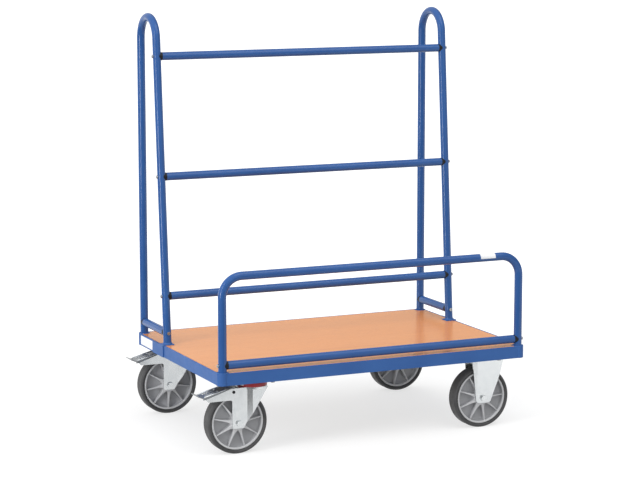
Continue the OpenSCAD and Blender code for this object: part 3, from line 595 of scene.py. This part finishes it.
def elastic_rubber():
    material, tree, shader, place = finish("elastic_rubber", specular=0.4)
    skin = two_tone(tree, vary(tree, place, scale=30), srgb(66, 66, 67), srgb(76, 76, 77))
    lay_on(tree, shader, skin, vary(tree, place, scale=90, low=0.5, high=0.66))
    raise_by(tree, shader, vary(tree, place, scale=650), depth=0.00003)
    return material


rubber = elastic_rubber()
for wheel in RIB_TURN:
    mesh = tyre_mesh()
    bmesh.ops.translate(mesh, verts=mesh.verts, vec=wheel_centre(wheel))
    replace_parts(piece_from(mesh, wheel + "_tyre_moulding", rubber, wheel + "_wheel"), wheel + "_tyre")
    dress(wheel + "_bearings", zinc)

# Brake pedals: pressed steel treads on two pins between the fork's arms, with a turned-up lip to
# lift them again. The tread's long edges are rolled to a bead, its two slots have drawn-up rims
# for grip, and a black shoe below bears on the tyre. The pins are burnished black.
PEDAL_EDGE, PIN_EDGE, SHOE_EDGE = 0.0006, 0.0004, 0.001
PEDAL_SLOPE = math.radians(14.5)
PIVOT_FROM_AXLE = -0.018
SLOT_L, SLOT_W = 0.042, 0.008
SLOT_FROM_AXLE = Vector((-0.085, 0.0144, 0.116))
SLOT_RIM_W, SLOT_RIM_H, SLOT_RIM_EDGE = 0.0022, 0.0014, 0.0006
BEAD_R, BEAD_L, BEAD_EDGE = 0.0021, 0.078, 0.0012
BEAD_FROM_AXLE = Vector((-0.077, 0.0266, 0.1163))


def pedal_plate():
    """Plated steel, brushed along the tread, with its edges painted bright: wear and painted highlight."""
    material, tree, shader, place = finish("pedal_plate", metallic=1.0)
    brushed = vary(tree, stretched(tree, place, (12, 160, 160)), scale=2)
    skin = two_tone(tree, brushed, srgb(146, 149, 152), srgb(158, 161, 164))
    # Rounded edges painted bright: part wear, part painted highlight.
    wear_and_highlight_skin = two_tone(tree, edge_wear_and_highlight(tree, place, scale=80), skin, srgb(206, 209, 211))
    lay_on(tree, shader, wear_and_highlight_skin, vary(tree, place, scale=60, low=0.26, high=0.34))
    return material


def burnished_black():
    material, tree, shader, place = finish("burnished_black", metallic=0.6)
    skin = two_tone(tree, vary(tree, place, scale=90), srgb(30, 31, 33), srgb(44, 45, 47))
    lay_on(tree, shader, skin, vary(tree, place, scale=140, low=0.34, high=0.46))
    return material


def slot_rim():
    """A drawn-up rim round a slot: a rounded outline, its inner edge on the slot, raised and softened."""
    mesh = rounded_blank(SLOT_L + 2 * SLOT_RIM_W, SLOT_W + 2 * SLOT_RIM_W, 2 * SLOT_RIM_W)
    inside = mesh.faces[:]
    bmesh.ops.inset_region(mesh, faces=inside, thickness=SLOT_RIM_W, use_boundary=True, use_even_offset=True)
    bmesh.ops.delete(mesh, geom=inside, context="FACES_ONLY")
    thicken(mesh, SLOT_RIM_H, SLOT_RIM_EDGE)
    return mesh


def edge_bead():
    """The rolled long edge of a tread: a round bar with rounded ends."""
    mesh = bmesh.new()
    bmesh.ops.create_cone(mesh, cap_ends=True, segments=24, radius1=BEAD_R, radius2=BEAD_R, depth=BEAD_L)
    bmesh.ops.rotate(mesh, verts=mesh.verts, cent=(0, 0, 0), matrix=Matrix.Rotation(math.pi / 2, 3, "Y"))
    round_edges(mesh, sharp_edges(mesh, angle=60), BEAD_EDGE, steps=3)
    return mesh


def on_tread(mesh, castor, place, name, material):
    """Lays a piece on a pedal's sloping tread, given by its place from the axle on a level one."""
    drop = math.tan(PEDAL_SLOPE) * (place.x - PIVOT_FROM_AXLE)
    spot = wheel_centre(castor) + place + Vector((0, 0, drop))
    bmesh.ops.transform(mesh, verts=mesh.verts,
                        matrix=Matrix.Translation(spot) @ Matrix.Rotation(-PEDAL_SLOPE, 4, "Y"))
    piece_from(mesh, castor + name, material, castor + "_brake")


pedal_steel = pedal_plate()
pin_steel = burnished_black()
for castor in SWIVEL_CASTORS:
    soft_edged(castor + "_pedal", pedal_steel, PEDAL_EDGE)
    soft_edged(castor + "_pedal_pins", pin_steel, PIN_EDGE)
    soft_edged(castor + "_brake_shoe", black, SHOE_EDGE)
    for side, name in ((-1, "_front"), (1, "_rear")):
        on_tread(slot_rim(), castor, SLOT_FROM_AXLE * Vector((1, side, 1)), name + "_slot_rim", zinc)
        on_tread(edge_bead(), castor, BEAD_FROM_AXLE * Vector((1, side, 1)), name + "_edge_bead", zinc)

# Floor, lights and camera: a pale studio floor that runs on into white, a broad lamp on the left
# with a low strip under it, a softer one overhead and the camera where the photograph was taken
# from. Polished pieces show a studio that is dim on the camera's side and on the right.
FLOOR_HALF = 80
FLOOR_NEAR, FLOOR_FAR = 0.9, 2.4
FLOOR_GLOW, FLOOR_WHITE = 0.66, 1.0
FLOOR_GREY = 0.4
DIM_FROM, DIM_TO = 0.95, 1.17
FLOOR_SIDE = Vector((-0.73, -0.68, 0)).normalized()
CAMERA_SIDE = Vector((-0.58, -0.81, 0.1)).normalized()
RIGHT_SIDE = Vector((1, 0.1, 0)).normalized()
CAMERA_AT, CAMERA_AIM = Vector((-3.019, -6.575, 1.712)), Vector((-0.0307, 0, 0.6056))
SENSOR, LENS = 36, 124.18


def fall_off(tree, vector, side, start, end, most, least):
    """Light that falls from most to least towards one side of the studio."""
    reach = tree.nodes.new("ShaderNodeVectorMath")
    dim = tree.nodes.new("ShaderNodeMapRange")
    reach.operation = "DOT_PRODUCT"
    reach.inputs[1].default_value = side
    dim.interpolation_type = "SMOOTHSTEP"
    for socket, value in (("From Min", start), ("From Max", end), ("To Min", most), ("To Max", least)):
        dim.inputs[socket].default_value = value
    tree.links.new(vector, reach.inputs[0])
    tree.links.new(reach.outputs["Value"], dim.inputs["Value"])
    return dim.outputs["Result"]


def both_of(tree, operation, a, b):
    """Two values joined by an operation."""
    node = tree.nodes.new("ShaderNodeMath")
    node.operation = operation
    tree.links.new(a, node.inputs[0])
    tree.links.new(b, node.inputs[1])
    return node.outputs[0]


def seen_directly(tree):
    """1 on camera rays and on what polished or clear surfaces show, 0 on the light that falls on things."""
    path = tree.nodes.new("ShaderNodeLightPath").outputs
    either = both_of(tree, "MAXIMUM", path["Is Camera Ray"], path["Is Glossy Ray"])
    return both_of(tree, "MAXIMUM", either, path["Is Transmission Ray"])


def polished_only(tree, value, plain=1):
    """The value as polished pieces show it, and a plain one for the camera and for lighting."""
    mix = tree.nodes.new("ShaderNodeMix")
    mix.inputs[2].default_value = plain
    tree.links.new(tree.nodes.new("ShaderNodeLightPath").outputs["Is Glossy Ray"], mix.inputs[0])
    tree.links.new(value, mix.inputs[3])
    return mix.outputs[0]


def pale_floor():
    """Matt and pale by the object, where it takes the shadow, and white further off."""
    material = bpy.data.materials.new("pale_floor")
    material.use_nodes = True
    tree = material.node_tree
    tree.nodes.clear()
    place = tree.nodes.new("ShaderNodeTexCoord").outputs["Object"]
    away = tree.nodes.new("ShaderNodeVectorMath")
    fade = tree.nodes.new("ShaderNodeMapRange")
    matt = tree.nodes.new("ShaderNodeBsdfDiffuse")
    glow = tree.nodes.new("ShaderNodeEmission")
    both = tree.nodes.new("ShaderNodeAddShader")
    surface = tree.nodes.new("ShaderNodeOutputMaterial")
    away.operation = "LENGTH"
    for socket, value in (("From Min", FLOOR_NEAR), ("From Max", FLOOR_FAR),
                          ("To Min", FLOOR_GLOW), ("To Max", FLOOR_WHITE)):
        fade.inputs[socket].default_value = value
    tree.links.new(place, away.inputs[0])
    tree.links.new(away.outputs["Value"], fade.inputs["Value"])
    lift = both_of(tree, "MULTIPLY", fade.outputs["Result"], seen_directly(tree))
    dim = fall_off(tree, place, FLOOR_SIDE, DIM_FROM, DIM_TO, most=1.3, least=0.05)
    tree.links.new(both_of(tree, "MULTIPLY", lift, polished_only(tree, dim)), glow.inputs["Strength"])
    pale = fall_off(tree, place, FLOOR_SIDE, DIM_FROM, DIM_TO, most=0.15, least=0.05)
    tree.links.new(polished_only(tree, pale, FLOOR_GREY), matt.inputs["Color"])
    tree.links.new(matt.outputs[0], both.inputs[0])
    tree.links.new(glow.outputs[0], both.inputs[1])
    tree.links.new(both.outputs[0], surface.inputs["Surface"])
    return material


floor_mesh = bmesh.new()
bmesh.ops.create_grid(floor_mesh, x_segments=1, y_segments=1, size=FLOOR_HALF)
floor_data = bpy.data.meshes.new("studio_floor")
floor_mesh.to_mesh(floor_data)
floor_mesh.free()
floor_data.materials.append(pale_floor())
floor = bpy.data.objects.new("studio_floor", floor_data)
bpy.context.scene.collection.objects.link(floor)

world = bpy.data.worlds.new("white_studio")
bpy.context.scene.world = world
world.use_nodes = True
tree = world.node_tree
tree.nodes.clear()
ambient = tree.nodes.new("ShaderNodeBackground")
white = tree.nodes.new("ShaderNodeBackground")
choose = tree.nodes.new("ShaderNodeMixShader")
sky = tree.nodes.new("ShaderNodeOutputWorld")
for background in (ambient, white):
    background.inputs["Color"].default_value = (1, 1, 1, 1)
way = tree.nodes.new("ShaderNodeTexCoord").outputs["Generated"]
shown = both_of(tree, "MULTIPLY",
                fall_off(tree, way, CAMERA_SIDE, start=0.77, end=0.97, most=1, least=0.2),
                fall_off(tree, way, RIGHT_SIDE, start=0.1, end=0.8, most=1, least=0.35))
tree.links.new(polished_only(tree, shown), white.inputs["Strength"])
tree.links.new(fall_off(tree, way, RIGHT_SIDE, start=-0.8, end=0.8, most=1.08, least=0.62),
               ambient.inputs["Strength"])
tree.links.new(seen_directly(tree), choose.inputs[0])
tree.links.new(ambient.outputs[0], choose.inputs[1])
tree.links.new(white.outputs[0], choose.inputs[2])
tree.links.new(choose.outputs[0], sky.inputs["Surface"])


def soft_lamp(name, place, aim, width, height, watts):
    """A rectangular lamp at a place, turned to a point."""
    data = bpy.data.lights.new(name, "AREA")
    data.shape = "RECTANGLE"
    data.size = width
    data.size_y = height
    data.energy = watts
    lamp = bpy.data.objects.new(name, data)
    lamp.location = place
    lamp.rotation_euler = (Vector(aim) - Vector(place)).to_track_quat("-Z", "Y").to_euler()
    bpy.context.scene.collection.objects.link(lamp)


soft_lamp("left_softbox", place=(-4.2, -1.6, 2.4), aim=(0, 0, 0.6), width=1.2, height=2.4, watts=40)
soft_lamp("left_strip", place=(-4.2, -1.6, 0.72), aim=(0, 0, 0.8), width=0.8, height=1.0, watts=44)
soft_lamp("overhead_softbox", place=(0.8, -1.8, 3.9), aim=(0, 0, 0.3), width=3.0, height=2.4, watts=42)

camera_data = bpy.data.cameras.new("camera")
camera = bpy.data.objects.new("camera", camera_data)
bpy.context.scene.collection.objects.link(camera)
camera_data.sensor_width = SENSOR
camera_data.lens = LENS
camera.location = CAMERA_AT
camera.rotation_euler = (CAMERA_AIM - CAMERA_AT).to_track_quat("-Z", "Y").to_euler()
bpy.context.scene.camera = camera

bpy.context.scene.view_settings.view_transform = "Standard"
